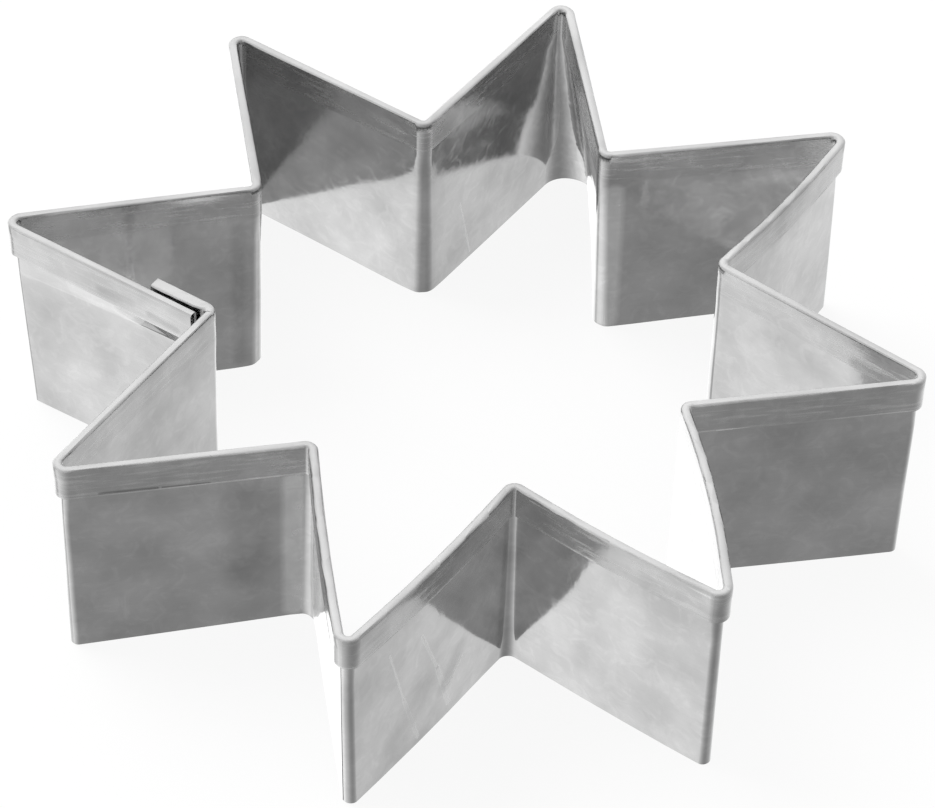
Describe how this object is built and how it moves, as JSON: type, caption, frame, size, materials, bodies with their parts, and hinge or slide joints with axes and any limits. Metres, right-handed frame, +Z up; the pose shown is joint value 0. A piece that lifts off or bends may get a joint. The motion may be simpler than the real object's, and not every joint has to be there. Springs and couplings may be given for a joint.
{
  "type": "star cookie cutter",
  "caption": "Open star-shaped cookie cutter bent from one strip of stainless sheet, with a folded hem along the top edge and a lapped, spot-welded join.",
  "frame": {"origin": "centre of the star's outer box in plan, at the level of the cutting edge", "axes": "+Z up from the cutting edge towards the hem; +Y towards the star's back tip, next to the notch pair that faces away from the viewer"},
  "size_m": [0.0808, 0.0813, 0.022],
  "materials": {
    "stainless_sheet": "bright rolled stainless sheet with rub marks and fine rolling lines"
  },
  "bodies": {
    "root": {"star_band": "stainless_sheet"}
  },
  "joints": []
}
